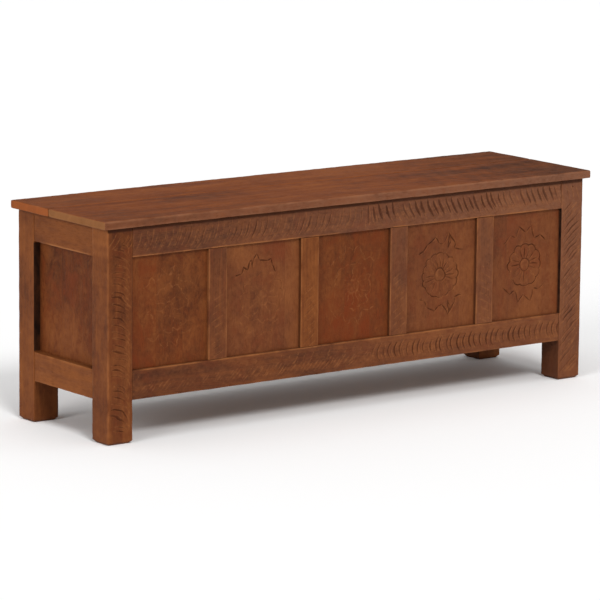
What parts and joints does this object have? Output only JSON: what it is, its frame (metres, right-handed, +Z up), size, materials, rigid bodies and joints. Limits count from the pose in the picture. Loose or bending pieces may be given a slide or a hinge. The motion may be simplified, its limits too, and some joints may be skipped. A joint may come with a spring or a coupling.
{
  "type": "storage bench",
  "caption": "Low wooden storage bench: a frame-and-panel chest on square legs whose hinged plank lid is the seat.",
  "frame": {"origin": "on the floor, under the middle of the lid's outline", "axes": "+X along the bench, to the right as seen from the front; +Y from the carved front to the back; +Z up"},
  "size_m": [1.1, 0.3, 0.397],
  "materials": {
    "frame_wood": "red-brown stained hardwood, satin, gouge-carved on the front",
    "panel_wood": "red-brown stained hardwood, satin, carved rosettes on the front",
    "lid_wood": "red-brown stained hardwood, smooth satin",
    "inner_wood": "plain sanded wood, matt",
    "hinge_metal": "dull antique brass"
  },
  "bodies": {
    "carcass": {"front_left_leg": "frame_wood", "front_right_leg": "frame_wood", "rear_left_leg": "frame_wood", "rear_right_leg": "frame_wood", "front_top_rail": "frame_wood", "front_bottom_rail": "frame_wood", "rear_top_rail": "frame_wood", "rear_bottom_rail": "frame_wood", "left_top_rail": "frame_wood", "left_bottom_rail": "frame_wood", "right_top_rail": "frame_wood", "right_bottom_rail": "frame_wood", "front_muntin_1": "frame_wood", "front_muntin_2": "frame_wood", "front_muntin_3": "frame_wood", "front_muntin_4": "frame_wood", "rear_muntin": "frame_wood", "front_panel_1": "panel_wood", "front_panel_2": "panel_wood", "front_panel_3": "panel_wood", "front_panel_4": "panel_wood", "front_panel_5": "panel_wood", "left_panel": "panel_wood", "right_panel": "panel_wood", "rear_panel_1": "panel_wood", "rear_panel_2": "panel_wood", "floor_board_front": "inner_wood", "floor_board_middle": "inner_wood", "floor_board_rear": "inner_wood", "floor_bearer_left": "inner_wood", "floor_bearer_middle": "inner_wood", "floor_bearer_right": "inner_wood", "hinge_pin_left": "hinge_metal", "hinge_pin_right": "hinge_metal", "hinge_leaf_fixed_left": "hinge_metal", "hinge_leaf_fixed_right": "hinge_metal", "hinge_screw_fixed_left_1": "hinge_metal", "hinge_screw_fixed_left_2": "hinge_metal", "hinge_screw_fixed_right_1": "hinge_metal", "hinge_screw_fixed_right_2": "hinge_metal"},
    "lid": {"lid_board_front": "lid_wood", "lid_board_rear": "lid_wood", "lid_batten_left": "inner_wood", "lid_batten_right": "inner_wood", "hinge_leaf_moving_left": "hinge_metal", "hinge_leaf_moving_right": "hinge_metal", "hinge_screw_moving_left_1": "hinge_metal", "hinge_screw_moving_left_2": "hinge_metal", "hinge_screw_moving_right_1": "hinge_metal", "hinge_screw_moving_right_2": "hinge_metal", "batten_screw_left_1": "hinge_metal", "batten_screw_left_2": "hinge_metal", "batten_screw_left_3": "hinge_metal", "batten_screw_right_1": "hinge_metal", "batten_screw_right_2": "hinge_metal", "batten_screw_right_3": "hinge_metal"}
  },
  "joints": [
    {"name": "lid_hinge", "type": "hinge", "parent": "carcass", "child": "lid", "pos_m": [0, 0.14404, 0.3817], "axis": [-1, 0, 0], "range_deg": [0, 105]}
  ]
}
